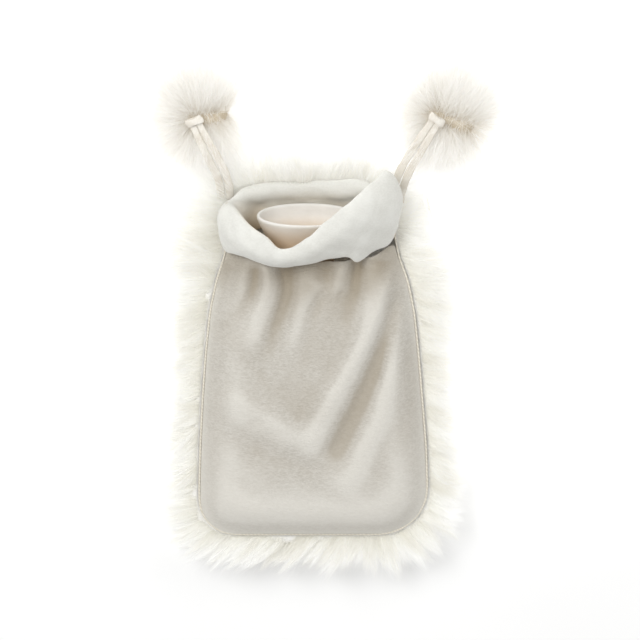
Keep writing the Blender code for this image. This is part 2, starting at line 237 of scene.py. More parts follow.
def cuffFinish():
    # the same cloth's brushed side, paler and softer, with painted shade in its hollows and painted brown
    # shade down inside the neck
    f = Finish("ivoryFleece")
    fuzz = f.noise(f.place((1.0, 1.6, 1.0)), 420, 3.0, 0.65)
    patch = f.noise(f.place(), 38, 4.0, 0.6)
    base = f.mix(f.spread(patch, 0.38, 0.66), cuffTones["low"], cuffTones["high"])
    base = f.mix(f.spread(fuzz, 0.35, 0.65, 0.0, 0.4), base, cuffTones["fuzz"])
    # painted shade in the hollows and painted brown shade down inside the neck
    fold, shade = f.painted("fold"), f.painted("shade")
    base = f.mix(f.spread(fold, 0.5, 0.0, 0.0, 0.5), base, cuffTones["hollow"])
    base = f.mix(shade, base, cuffTones["insideNeckShade"])
    relief = f.bump(fuzz * 0.5 + patch * 1.2, 0.0008, 0.6)
    return f.surface(f.node("ShaderNodeBsdfPrincipled", None, {
        "Base Color": base, "Roughness": 0.92, "Specular IOR Level": 0.15,
        "Sheen Weight": 0.2, "Sheen Roughness": 0.5, "Normal": relief,
    }))


furTones = {
    "back": {
        "root": (0.90, 0.893, 0.855), "middle": (0.925, 0.922, 0.90), "tip": (0.95, 0.95, 0.945),
        "dark": (0.79, 0.77, 0.70), "uneven": 0.45, "through": 0.42, "glow": 0.175,
    },
    "pompom": {
        "root": (0.80, 0.765, 0.70), "middle": (0.89, 0.88, 0.855), "tip": (0.95, 0.948, 0.94),
        "dark": (0.78, 0.74, 0.665), "uneven": 0.32, "through": 0.42, "glow": 0.165,
    },
}
skinTones = {
    "back": {"dark": (0.86, 0.845, 0.80), "pale": (0.91, 0.90, 0.865)},
    "pompom": {"dark": (0.56, 0.48, 0.36), "pale": (0.68, 0.61, 0.49)},
}


def furFinish(name, look):
    # u is the hair's own tone, v runs from its root to its tip
    f = Finish(name)
    uv = f.node("ShaderNodeUVMap", {"uv_map": "OFBake"})
    tone = f.node("ShaderNodeSeparateXYZ", None, {"Vector": uv}, "X")
    along = f.node("ShaderNodeSeparateXYZ", None, {"Vector": uv}, "Y")
    # darker towards the root: painted shade among the roots
    stops = [(0.0, look["root"]), (0.30, look["middle"]), (0.72, look["tip"]), (1.0, look["tip"])]
    colour = f.node("ShaderNodeValToRGB", {"stops": stops}, {"Fac": along})
    colour = f.mix(f.spread(tone, 0.0, 1.0, 0.0, look["uneven"]), colour, look["dark"])
    # the hair glows with its own colour: painted light in place of the light scattered between the hairs
    hair = f.node("ShaderNodeBsdfPrincipled", None, {
        "Base Color": colour, "Roughness": 0.75, "Specular IOR Level": 0.2,
        "Emission Color": colour, "Emission Strength": look["glow"],
    })
    lit = f.node("ShaderNodeBsdfTranslucent", None, {"Color": colour})
    return f.surface(f.node("ShaderNodeMixShader", None, {"Fac": look["through"], 1: hair, 2: lit}))


def skinFinish(name, dark, pale):
    # the knitted backing that the hair grows from
    f = Finish(name)
    weave = f.noise(f.place(), 260, 3.0)
    patch = f.noise(f.place(), 45, 3.0)
    base = f.mix(f.spread(patch, 0.35, 0.65), dark, pale)
    relief = f.bump(weave + patch, 0.002, 0.8)
    return f.surface(f.node("ShaderNodeBsdfPrincipled", None, {
        "Base Color": base, "Roughness": 0.95, "Specular IOR Level": 0.1, "Normal": relief,
    }))


rubberTones = {"low": (0.685, 0.668, 0.63), "high": (0.73, 0.715, 0.68), "deepShade": (0.72, 0.575, 0.42)}


def rubberFinish():
    # faintly mottled satin rubber, with painted warm shade where it goes down into the cover
    f = Finish("creamRubber")
    mottled = f.noise(f.place(), 60, 3.0)
    grain = f.noise(f.place(), 700, 2.0)
    base = f.mix(f.spread(mottled, 0.3, 0.7), rubberTones["low"], rubberTones["high"])
    # painted warm shade where the rubber goes down into the cover
    base = f.mix(f.painted("shade"), base, rubberTones["deepShade"])
    return f.surface(f.node("ShaderNodeBsdfPrincipled", None, {
        "Base Color": base, "Roughness": f.spread(grain, 0.3, 0.7, 0.42, 0.58),
        "Specular IOR Level": 0.45, "Normal": f.bump(grain, 0.0002, 0.5),
    }))


suedeTones = {"low": (0.73, 0.685, 0.605), "high": (0.82, 0.79, 0.725), "nap": (0.64, 0.58, 0.49)}


def suedeFinish():
    # soft split leather, its nap lying along the straps
    f = Finish("creamSuede")
    nap = f.noise(f.place((1.0, 0.5, 1.0)), 620, 3.0, 0.6)
    patch = f.noise(f.place(), 90, 3.0)
    base = f.mix(f.spread(patch, 0.35, 0.65), suedeTones["low"], suedeTones["high"])
    base = f.mix(f.spread(nap, 0.35, 0.65, 0.0, 0.3), base, suedeTones["nap"])
    return f.surface(f.node("ShaderNodeBsdfPrincipled", None, {
        "Base Color": base, "Roughness": 0.88, "Specular IOR Level": 0.2,
        "Sheen Weight": 0.2, "Normal": f.bump(nap, 0.0004, 0.6),
    }))


seamTones = {"low": (0.64, 0.60, 0.50), "high": (0.76, 0.72, 0.63)}


def seamFinish():
    # twisted thread along the sewn edge
    f = Finish("seamThread")
    twist = f.node(
        "ShaderNodeTexWave", {"wave_type": "BANDS", "bands_direction": "DIAGONAL"},
        {"Vector": f.place(), "Scale": 160, "Distortion": 2.0}, "Fac",
    )
    base = f.mix(twist, seamTones["low"], seamTones["high"])
    return f.surface(f.node("ShaderNodeBsdfPrincipled", None, {
        "Base Color": base, "Roughness": 0.85, "Specular IOR Level": 0.2,
        "Normal": f.bump(twist, 0.0003, 0.5),
    }))


def floorFinish():
    # plain and pale, and lit a little from inside towards the head
    f = Finish("paleFloor")
    cloud = f.noise(f.place(), 3, 2.0)
    base = f.mix(f.spread(cloud, 0.2, 0.8), studio["floorColour"], studio["floorPale"])
    where = f.node("ShaderNodeSeparateXYZ", None, {"Vector": f.place()}, "Y")
    look = studio["floorGlow"]
    glow = f.spread(where, look["from"], look["to"], look["foot"], look["head"])
    return f.surface(f.node("ShaderNodeBsdfPrincipled", None, {
        "Base Color": base, "Roughness": 0.9, "Specular IOR Level": 0.1,
        "Emission Color": f.mix(glow, (0, 0, 0), (1, 1, 1)), "Emission Strength": 1.0,
    }))


fleece = fleeceFinish()
ivory = cuffFinish()
backFur = furFinish("whiteFur", furTones["back"])
pompomFur = furFinish("pompomFur", furTones["pompom"])
skin = skinFinish("furBacking", **skinTones["back"])
pompomSkin = skinFinish("pompomBacking", **skinTones["pompom"])
rubber = rubberFinish()
suede = suedeFinish()
seamMaterial = seamFinish()
log("materials")


# Mesh helpers
def newObject(name, mesh, finish):
    made = bpy.data.objects.new(name, mesh)
    mesh.materials.clear()
    mesh.materials.append(finish)
    mesh.shade_smooth()
    scene.collection.objects.link(made)
    return made


def meshFrom(work, name):
    mesh = bpy.data.meshes.new(name)
    work.to_mesh(mesh)
    work.free()
    return mesh


def curveMesh(name, line):
    # a curve's own shape as a mesh
    obj = bpy.data.objects.new(name, line)
    scene.collection.objects.link(obj)
    bpy.context.view_layer.update()
    mesh = bpy.data.meshes.new_from_object(obj.evaluated_get(bpy.context.evaluated_depsgraph_get()))
    bpy.data.objects.remove(obj)
    bpy.data.curves.remove(line)
    mesh.name = name
    return mesh


def baked(obj):
    # the object with its modifiers made real
    graph = bpy.context.evaluated_depsgraph_get()
    graph.update()
    mesh = bpy.data.meshes.new_from_object(obj.evaluated_get(graph))
    old = obj.data
    obj.modifiers.clear()
    obj.data = mesh
    mesh.name = obj.name
    if isinstance(old, bpy.types.Mesh):
        bpy.data.meshes.remove(old)
    return obj


def softCopy(node, name, finish, levels):
    # a CAD solid's shape again, in quads and rounded
    work = bmesh.new()
    work.from_mesh(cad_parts[node].data)
    bmesh.ops.remove_doubles(work, verts=work.verts, dist=0.00002)
    bmesh.ops.join_triangles(
        work, faces=work.faces, angle_face_threshold=math.radians(50), angle_shape_threshold=math.radians(60)
    )
    obj = newObject(name, meshFrom(work, name), finish)
    rounded = obj.modifiers.new("rounded", "SUBSURF")
    rounded.levels = rounded.render_levels = levels
    return baked(obj)


def curveThrough(points, count):
    # points along a smooth curve through a few given ones
    known = np.array(points, float)
    made = []
    for share in np.linspace(0, len(known) - 1, count):
        i = min(int(share), len(known) - 2)
        t = share - i
        a, b, c, d = (known[min(max(k, 0), len(known) - 1)] for k in (i - 1, i, i + 1, i + 2))
        made.append(
            0.5 * (2 * b + (c - a) * t + (2 * a - 5 * b + 4 * c - d) * t**2 + (3 * b - a - 3 * c + d) * t**3)
        )
    return np.array(made)


def setPlaces(obj, places):
    # moves a mesh's points, given in mm
    obj.data.vertices.foreach_set("co", (places * mm).ravel())
    obj.data.update()


def unit(rows):
    return rows / np.maximum(np.linalg.norm(rows, axis=-1, keepdims=True), 1e-6)


def arrays(obj):
    # a mesh's points in mm and their normals
    mesh = obj.data
    count = len(mesh.vertices)
    places, normals = np.empty(count * 3), np.empty(count * 3)
    mesh.vertices.foreach_get("co", places)
    mesh.vertex_normals.foreach_get("vector", normals)
    return places.reshape(-1, 3) / mm, normals.reshape(-1, 3)


def paintValues(obj, name, values):
    layer = obj.data.attributes.new(name, "FLOAT", "POINT")
    layer.data.foreach_set("value", np.clip(values, 0, 1).astype(np.float32))


def foldValues(obj, rounds, depth):
    # 0.5 on even cloth, towards 0 in the hollows and towards 1 on the ridges (depth in mm)
    places, normals = arrays(obj)
    ends = np.empty(len(obj.data.edges) * 2, np.int32)
    obj.data.edges.foreach_get("vertices", ends)
    a, b = ends.reshape(-1, 2).T
    shared = np.bincount(a, minlength=len(places)) + np.bincount(b, minlength=len(places))
    smooth = places.copy()
    for _ in range(rounds):
        total = np.zeros_like(smooth)
        for k in range(3):
            total[:, k] = np.bincount(a, smooth[b, k], len(places))
            total[:, k] += np.bincount(b, smooth[a, k], len(places))
        smooth = total / shared[:, None]
    return 0.5 + ((places - smooth) * normals).sum(axis=1) / (2 * depth)


def nearLine(places, line):
    # distance from each place to a line of points, in plan, and how far along it lies
    away = np.linalg.norm(places[:, None, :2] - line[None, :, :2], axis=2)
    return away.min(axis=1), away.argmin(axis=1) / (len(line) - 1)


# Seam outline
outline = {
    # closed end to neck: y, left and right seam, seam height and pile, all in mm
    "rows": [
        (-178.2, -120.6, 122.4, 33, 42), (-128.2, -120.6, 122.9, 33, 34), (-78.2, -118.6, 120.4, 33, 30),
        (-28.2, -115.6, 115.9, 33, 30), (21.8, -111.6, 111.4, 33, 31), (66.8, -106.6, 106.4, 33, 35),
        (101.8, -99.1, 98.9, 33, 41), (126.8, -90.1, 88.9, 32, 47), (151.8, -87.6, 85.4, 27, 48),
        (171.8, -85.6, 81.4, 19, 42), (187.8, -82.6, 77.4, 15, 26),
    ],
    "corners": (40, 54, 26),
}
seamRows = np.array(outline["rows"])


def alongSeam(column, y):
    return np.interp(y, seamRows[:, 0], seamRows[:, column])


def arc(x, y, radius, first, last):
    # a round corner of the outline, between two angles in degrees
    turn = np.radians(np.linspace(first, last, 12))
    return [(x + radius * math.cos(a), y + radius * math.sin(a)) for a in turn]


def seamLine(count):
    # the seam in plan, anticlockwise from the left side of the closed end
    leftRound, rightRound, neckRound = outline["corners"]
    foot, head = seamRows[0, 0], seamRows[-1, 0]
    left, right = seamRows[0, 1], seamRows[0, 2]
    topLeft, topRight = seamRows[-1, 1], seamRows[-1, 2]
    points = arc(left + leftRound, foot + leftRound, leftRound, 180, 270)
    points += arc(right - rightRound, foot + rightRound, rightRound, 270, 360)
    points += [(r[2], r[0]) for r in seamRows if foot + rightRound < r[0] < head - neckRound]
    points += arc(topRight - neckRound, head - neckRound, neckRound, 0, 90)
    points += arc(topLeft + neckRound, head - neckRound, neckRound, 90, 180)
    points += [(r[1], r[0]) for r in seamRows[::-1] if foot + leftRound < r[0] < head - neckRound]
    loop = np.array(points + points[:1])
    walked = np.concatenate([[0], np.cumsum(np.linalg.norm(np.diff(loop, axis=0), axis=1))])
    at = np.linspace(0, walked[-1], count, endpoint=False)
    line = np.stack([np.interp(at, walked, loop[:, k]) for k in range(2)], axis=1)
    for _ in range(int(count / 40)):
        line = 0.25 * np.roll(line, 1, axis=0) + 0.5 * line + 0.25 * np.roll(line, -1, axis=0)
    run = np.roll(line, -1, axis=0) - np.roll(line, 1, axis=0)
    normal = np.stack([run[:, 1], -run[:, 0]], axis=1)
    return line, normal / np.linalg.norm(normal, axis=1)[:, None]


# Ties, straps and knots
tieLook = {
    "strapWidth": 8.0, "strapThick": 2.4,
    # half the distance between a tie's two straps in mm, and the share of it left at the knot
    "spread": 4.4, "gathered": 0.74,
    # a strap is drawn through its route's points, then finely, and ends under the knot
    "points": 11, "finePoints": 40, "shownPoints": 39,
    # the routes are in the CAD's own millimetres, which lie this far from the shared frame
    "shiftX": 1.411, "shiftY": -28.225,
    "left": [
        (-88, 209, 25), (-88, 220, 30), (-92, 238, 38), (-101, 258, 44), (-110, 277, 47), (-118, 295, 48),
    ],
    "right": [
        (82, 206, 26), (84, 219, 31), (90, 239, 39), (100, 259, 45), (111, 278, 48), (123, 297, 49),
    ],
}


def tieRoutes(side):
    # the two straps of one tie, side by side
    route = curveThrough(tieLook[side], tieLook["points"])
    route[:, 0] += tieLook["shiftX"]
    route[:, 1] += tieLook["shiftY"]
    run = np.gradient(route, axis=0)
    sideways = np.column_stack([run[:, 1], -run[:, 0], 0 * run[:, 0]])
    sideways /= np.linalg.norm(sideways, axis=1)[:, None]
    made = {}
    for strap, sign in (("outer", -1), ("inner", 1)):
        near = tieLook["gathered"]
        drawnIn = np.interp(np.linspace(0, 1, len(route)), [0, 0.6, 0.9, 1], [1, 1, near, near])
        whole = (route + sideways * drawnIn[:, None] * tieLook["spread"] * sign) * mm
        made[strap] = curveThrough(whole, tieLook["finePoints"])[:tieLook["shownPoints"]]
    return made


def strapMesh(name, path):
    # a flat strap with soft edges, drawn along its path
    profile = bpy.data.curves.new("strapProfile", "CURVE")
    profile.dimensions = "2D"
    ring = profile.splines.new("POLY")
    ring.points.add(11)
    for k, point in enumerate(ring.points):
        turn = -2 * math.pi * k / 12
        wide = math.copysign(abs(math.cos(turn)) ** 0.7, math.cos(turn)) * tieLook["strapWidth"] / 2
        thick = math.copysign(abs(math.sin(turn)) ** 0.8, math.sin(turn)) * tieLook["strapThick"] / 2
        point.co = (wide * mm, thick * mm, 0, 1)
    ring.use_cyclic_u = True
    guide = bpy.data.objects.new("strapProfile", profile)
    line = bpy.data.curves.new(name, "CURVE")
    line.dimensions = "3D"
    line.twist_mode = "Z_UP"
    line.bevel_mode = "OBJECT"
    line.bevel_object = guide
    line.use_fill_caps = True
    spline = line.splines.new("POLY")
    spline.points.add(len(path) - 1)
    for k, (point, place) in enumerate(zip(spline.points, path)):
        uneven = 0.05 * math.sin(k * 0.9) + 0.03 * math.sin(k * 2.3)
        point.co = (*place, 1)
        point.radius = 1 + uneven - 0.3 * (k / len(path)) ** 4
        point.tilt = 0.10 * math.sin(k * 0.33)
    mesh = curveMesh(name, line)
    bpy.data.objects.remove(guide)
    work = bmesh.new()
    work.from_mesh(mesh)
    bpy.data.meshes.remove(mesh)
    bmesh.ops.remove_doubles(work, verts=work.verts, dist=0.00001)
    return newObject(name, meshFrom(work, name), suede)


straps = {}
for side in ("left", "right"):
    for strap, path in tieRoutes(side).items():
        name = f"tieStrap_{side}_{strap}"
        straps[side, strap] = (strapMesh(name, path), path)
        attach(straps[side, strap][0], "root")
        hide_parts(f"tie_{side}_{strap}")
log("ties")

# Fleece front
frontLook = {
    # start, middle, end (mm, with the cover's closed end at -Y), half width, height at each end
    "creases": [
        ((-69, 118), (-75, 100), (-84, 88), 4.5, 2.2, 0.6),
        ((-85, 118), (-90, 107), (-95, 92), 4.5, -2.0, -0.4),
        ((-56, 119), (-60, 95), (-80, 58), 5.0, -2.2, -0.5),
        ((-48, 124), (-44, 98), (-62, 54), 4.5, 3.2, 0.8),
        ((-32, 121), (-27, 89), (-48, 36), 6.0, -3.6, -0.8),
        ((14, 104), (-9, 76), (-17, 4), 8.0, 2.8, 0.6),
        ((32, 96), (14, 59), (6, 17), 7.0, -1.4, -0.5),
        ((30, 122), (26, 104), (18, 86), 5.0, 2.2, 0.8),
        ((47, 126), (43, 106), (44, 80), 5.0, -4.0, -0.6),
        ((60, 126), (56, 107), (50, 88), 6.0, -2.0, -0.3),
        ((83, 120), (53, 43), (-6, -59), 7.0, 2.6, 2.4),
        ((86, 95), (66, 16), (20, -80), 8.0, -3.0, -1.8),
        ((90, 74), (76, -20), (37, -133), 10.0, 1.3, 1.3),
        ((-84, -13), (-51, -33), (-10, -59), 9.0, 0.9, 1.7),
        ((-76, 38), (-51, 10), (-12, -20), 12.0, -0.6, -0.8),
        ((100, 54), (101, -20), (87, -84), 9.0, -0.7, -0.7),
    ],
    "ripple": 0.30,
    # how dark the painted shadow under the cuff is, over what distance it fades, and the hem's y and dip, in
    # mm
    "underCuffShadow": 0.50,
    "fade": 52.0,
    "hem": 124,
    "dip": 17,
    # painted shade in the hollows between the gathers: start, middle, end, half width, darkness at each end
    "hollows": [
        ((-30, 116), (4, 119), (26, 116), 11.0, 0.40, 0.40),
        ((-28, 118), (-26, 90), (-48, 36), 9.0, 0.50, 0.10),
        ((50, 122), (43, 102), (44, 82), 6.0, 0.62, 0.10),
        ((70, 126), (62, 108), (50, 84), 10.0, 0.60, 0.10),
        ((-56, 119), (-60, 96), (-80, 60), 6.0, 0.38, 0.14),
        ((-85, 120), (-90, 106), (-96, 90), 7.0, 0.45, 0.08),
        ((86, 92), (66, 16), (22, -76), 8.0, 0.24, 0.20),
        ((0, 104), (-16, 84), (-24, 56), 8.0, 0.30, 0.10),
        ((32, 100), (18, 54), (8, 10), 13.0, 0.20, 0.10),
        ((-90, 66), (-70, 42), (-36, 20), 17.0, 0.12, 0.10),
        ((-36, 0), (-7, -20), (10, -44), 16.0, 0.10, 0.12),
        ((100, 40), (101, -20), (87, -84), 10.0, 0.10, 0.10),
    ],
    # a painted highlight along the edge inside the seam, its width and how much paler it is, then a painted
    # highlight towards the flat closed end
    "edge": 9.0,
    "edgeHighlight": 0.50,
    "lowHighlight": 0.17,
    # a fold's light and dark: rounds of smoothing to find it, and the height in mm that counts as full
    "foldRounds": 90,
    "foldDepth": 2.6,
}


def alongLines(places, lines):
    # a bell across every line in a table, its height running from one end's to the other's
    for start, middle, end, width, first, last in lines:
        away, along = nearLine(places, curveThrough([start, middle, end], 30))
        ends = np.clip(along * 8, 0, 1) * np.clip((1 - along) * 4, 0, 1)
        yield (first + (last - first) * along) * np.exp(-((away / width) ** 2)) * ends


def frontRelief(places, normals):
    # how far the cloth rises, the same for both of its faces
    flatness = np.clip(np.abs(normals[:, 2]) * 1.4 - 0.25, 0, 1)
    waves = np.sin(places[:, 0] * 0.16 + np.sin(places[:, 1] * 0.05) * 2) * np.cos(places[:, 1] * 0.09)
    return (sum(alongLines(places, frontLook["creases"])) + frontLook["ripple"] * waves) * flatness


def cuffShadow(places):
    # how dark the painted shadow is under the cuff and in the hollows between its gathers
    hem = frontLook["hem"] - frontLook["dip"] * np.clip(1 - (places[:, 0] / 80) ** 2, 0, 1) ** 0.8
    depth = np.clip(1 - (hem - places[:, 1]) / frontLook["fade"], 0, 1)
    light = 1 - frontLook["underCuffShadow"] * depth**1.6
    for dark in alongLines(places, frontLook["hollows"]):
        light = light * (1 - dark)
    return 1 - light


def frontFolds(places):
    # painted light and shade of the folds, not of the roll down to the seam, a painted highlight along the
    # edge beside it and one towards the closed end
    away, _ = nearLine(places, seamLine(160)[0])
    folds = foldValues(front, frontLook["foldRounds"], frontLook["foldDepth"]) - 0.5
    folds = folds * np.clip((away - 14) / 30, 0.15, 1)
    pale = frontLook["edgeHighlight"] * np.exp(-((away / frontLook["edge"]) ** 2))
    low = frontLook["lowHighlight"] * np.clip((-places[:, 1] - 40) / 80, 0, 1)
    return 0.5 + folds + pale + low


front = softCopy("front_panel", "frontPanel", fleece, 2)
frontPlaces, frontNormals = arrays(front)
setPlaces(front, frontPlaces + np.outer(frontRelief(frontPlaces, frontNormals), (0, 0, 1)))
# painted light and shade of the folds, and painted highlights along the seam's edge and towards the closed
# end
paintValues(front, "fold", frontFolds(frontPlaces))
# painted shadow under the cuff and painted shade in the hollows between the gathers
paintValues(front, "shade", cuffShadow(frontPlaces))
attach(front, "root")
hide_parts("front_panel")
log("fleece front")

# Cuff
cuffLook = {
    # height of the broad waves and the small ones, mm
    "wrinkle": 0.7, "fuzz": 0.25,
    # a line along the cuff, half width and height in mm
    "creases": [
        ((-84, 176), (-74, 150), (-48, 126), 3.5, -1.3),
        ((-78, 172), (-66, 150), (-40, 132), 4.0, 1.3),
        ((-60, 136), (-30, 122), (6, 126), 5.0, 0.9),
        ((4, 146), (26, 162), (44, 190), 6.0, 0.9),
        ((46, 140), (62, 156), (78, 180), 5.0, 0.8),
    ],
    # the neck's middle in x and z, from which y the painted brown shade starts inside it, and over how far it
    # deepens
    "neck": (-2.6, 46.0), "mouth": 183.0, "deepShade": 34.0,
    "foldRounds": 40,
    "foldDepth": 3.0,
}


def cuffRelief(places, normals):
    # how far the turned-down cloth swells: waves all over, then the creases on its upper side
    x, y, z = places.T
    waves = np.sin((x * 0.10 + y * 0.05) * 1.3 + z * 0.08) * np.sin(y * 0.16 + x * 0.03)
    small = np.sin(x * 0.31 + y * 0.17) * np.sin(z * 0.23 + y * 0.29)
    total = cuffLook["wrinkle"] * waves + cuffLook["fuzz"] * small
    for start, middle, end, width, height in cuffLook["creases"]:
        away, along = nearLine(places, curveThrough([start, middle, end], 30))
        ends = np.clip(along * 5, 0, 1) * np.clip((1 - along) * 5, 0, 1)
        total += height * np.exp(-((away / width) ** 2)) * ends * np.clip(normals[:, 2], 0, 1)
    return total


def insideNeckShade(places, normals):
    # how strong the painted shade is: how far down inside the neck the cloth is, on the side that faces its
    # middle
    centre = np.array(cuffLook["neck"])
    inward = unit(centre - places[:, [0, 2]])
    facing = np.clip((inward * normals[:, [0, 2]]).sum(axis=1) * 1.4 + 0.1, 0, 1)
    return facing * np.clip((cuffLook["mouth"] - places[:, 1]) / cuffLook["deepShade"], 0, 1)


cuff = softCopy("cuff", "cuffRoll", ivory, 2)
cuffPlaces, cuffNormals = arrays(cuff)
setPlaces(cuff, cuffPlaces + cuffNormals * cuffRelief(cuffPlaces, cuffNormals)[:, None])
paintValues(cuff, "fold", foldValues(cuff, cuffLook["foldRounds"], cuffLook["foldDepth"]))
# painted brown shade down inside the neck
paintValues(cuff, "shade", insideNeckShade(*arrays(cuff)))
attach(cuff, "root")
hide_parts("cuff")
log("cuff")

# Bottle
# the y in mm at which painted shade starts on the rubber, and how far on it is deepest
bottleLook = {"from": 166, "over": 26}
bottle = softCopy("bottle", "rubberBottle", rubber, 1)
bottlePlaces, _ = arrays(bottle)
# painted shade on the rubber below the mouth
paintValues(bottle, "shade", (bottleLook["from"] - bottlePlaces[:, 1]) / bottleLook["over"])
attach(bottle, "root")
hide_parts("bottle")
log("bottle")

# Fur back
furLook = {
    # y in mm, then how long the hair is on the left and right for its pile
    "length": [
        (-178, 1.05, 1.05), (-60, 1.28, 1.22), (30, 1.32, 1.25), (70, 1.25, 1.40), (98, 1.25, 1.45),
        (127, 1.80, 1.00), (158, 2.05, 0.88), (175, 2.25, 1.25), (188, 2.45, 1.90),
    ],
    # closed end, x in mm and how far the hair is combed to the right for every mm down
    "comb": [(-120, -0.55), (-70, -0.95), (-15, -0.90), (30, -0.50), (70, 0.0), (112, 0.30)],
    "width": 0.34,
    # degrees by which the hair stands higher at the left shoulder
    "shoulderLift": 24,
    # no hair reaches farther to the left than this x in mm
    "farthest": -179.5,
    "full": 1.0,
    "quick": 0.35,
    "seed": 11,
}
# hairs, mm of seam for every lock, how strongly a lock gathers, how much locks stray sideways
furParts = {
    "foot": {"hairs": 25000, "every": 1.9, "gather": 0.84, "sway": 0.17},
    "sideRight": {"hairs": 27000, "every": 1.1, "gather": 0.42, "sway": 0.22},
    "head": {"hairs": 17000, "every": 1.1, "gather": 0.42, "sway": 0.22},
    "sideLeft": {"hairs": 27000, "every": 1.1, "gather": 0.42, "sway": 0.22},
}
# the tray that the hair grows from: mm from the seam and share of the wall's height inside, then
# shares of the pile's reach and of the seam's height outside
backingLook = {
    "inner": [(-26, 0.0), (-17, 0.10), (-9, 0.36), (-4.5, 0.74), (-3, 0.93)],
    "outer": [
        (0.0, 0.95), (0.10, 0.98), (0.20, 0.90), (0.29, 0.70), (0.33, 0.45), (0.31, 0.2), (0.25, 0.12),
    ],
    "floor": 12.0, "underside": 4.5, "undersideReach": 0.16, "around": 160,
}


def fromTable(name, column, at):
    # a column of one of the fur's tables, at any x or y
    rows = np.array(furLook[name])
    return np.interp(at, rows[:, 0], rows[:, column])


def moveRing(ring, places):
    # puts a ring of points in place, given in mm
    for vert, place in zip(ring, places):
        vert.co = Vector(place) * mm


def backingMesh():
    # the backing with its short dense underfur: a tray, drawn ring by ring from the seam outline
    look = backingLook
    line, normal = seamLine(look["around"])
    height, pile = alongSeam(3, line[:, 1]), alongSeam(4, line[:, 1])
    rings = [
        np.column_stack([line + normal * reach, look["floor"] + (height - look["floor"]) * level])
        for reach, level in look["inner"]
    ]
    rings += [
        np.column_stack([line + normal * (reach * pile)[:, None], height * level])
        for reach, level in look["outer"]
    ]
    below = np.full(len(line), look["underside"])
    rings.append(np.column_stack([line + normal * (look["undersideReach"] * pile)[:, None], below]))
    work = bmesh.new()
    ring = list(bmesh.ops.create_circle(work, segments=len(line), radius=1.0, cap_ends=True)["verts"])
    moveRing(ring, rings[0])
    edges = work.edges[:]
    for places in rings[1:]:
        grown = bmesh.ops.extrude_edge_only(work, edges=edges)["geom"]
        fresh = {g for g in grown if isinstance(g, bmesh.types.BMVert)}
        edges = [g for g in grown if isinstance(g, bmesh.types.BMEdge) and set(g.verts) <= fresh]
        ring = [next(e.other_vert(old) for e in old.link_edges if e.other_vert(old) in fresh) for old in ring]
        moveRing(ring, places)
    bmesh.ops.contextual_create(work, geom=edges)
    bmesh.ops.recalc_face_normals(work, faces=work.faces)
    return meshFrom(work, "furBacking")


def hairMesh(name, paths, widths, tones, finish):
    # paths is hairs x points x 3 in mm. Each hair is a narrow ribbon that tapers to its tip, and its
    # UV map holds its own tone and the way from root to tip.
    hairs, points = paths.shape[:2]
    line = bpy.data.curves.new(name, "CURVE")
    line.dimensions = "3D"
    line.extrude = 0.5 * mm
    taper = np.interp(np.linspace(0, 1, points), [0, 0.3, 0.7, 1], [0.8, 1.0, 0.75, 0.12])
    rows = np.concatenate([paths * mm, np.ones((hairs, points, 1))], axis=2).astype(np.float32)
    radii = (widths[:, None] * taper[None]).astype(np.float32)
    tilts = np.random.default_rng(5).uniform(-1.2, 1.2, hairs)
    for row, radius, tilt in zip(rows, radii, tilts):
        spline = line.splines.new("POLY")
        spline.points.add(points - 1)
        spline.points.foreach_set("co", row.ravel())
        spline.points.foreach_set("radius", radius)
        spline.points.foreach_set("tilt", [tilt] * points)
    mesh = curveMesh(name, line)
    corners = np.empty(len(mesh.loops), np.int32)
    mesh.loops.foreach_get("vertex_index", corners)
    hair, within = np.divmod(corners, points * 2)
    along, side = np.divmod(within, 2)
    uv = mesh.uv_layers.new(name="OFBake")
    flat = np.column_stack([
        tones[hair] * 0.98 + 0.008 + (side - 0.5) * 0.006, along / (points - 1) * 0.98 + 0.01
    ])
    uv.data.foreach_set("uv", flat.astype(np.float32).ravel())
    return newObject(name, mesh, finish)


def arcs(roots, first, last, lengths, points=4):
    # hairs that leave their roots one way and end another
    t = np.linspace(0, 1, points)[None, :, None]
    bend = first[:, None] * t + (last - first)[:, None] * t**2 / 2
    return roots[:, None] + bend * lengths[:, None, None]


seamPlan, seamNormal = seamLine(900)
seamRound = float(np.linalg.norm(np.diff(seamPlan, axis=0), axis=1).sum())


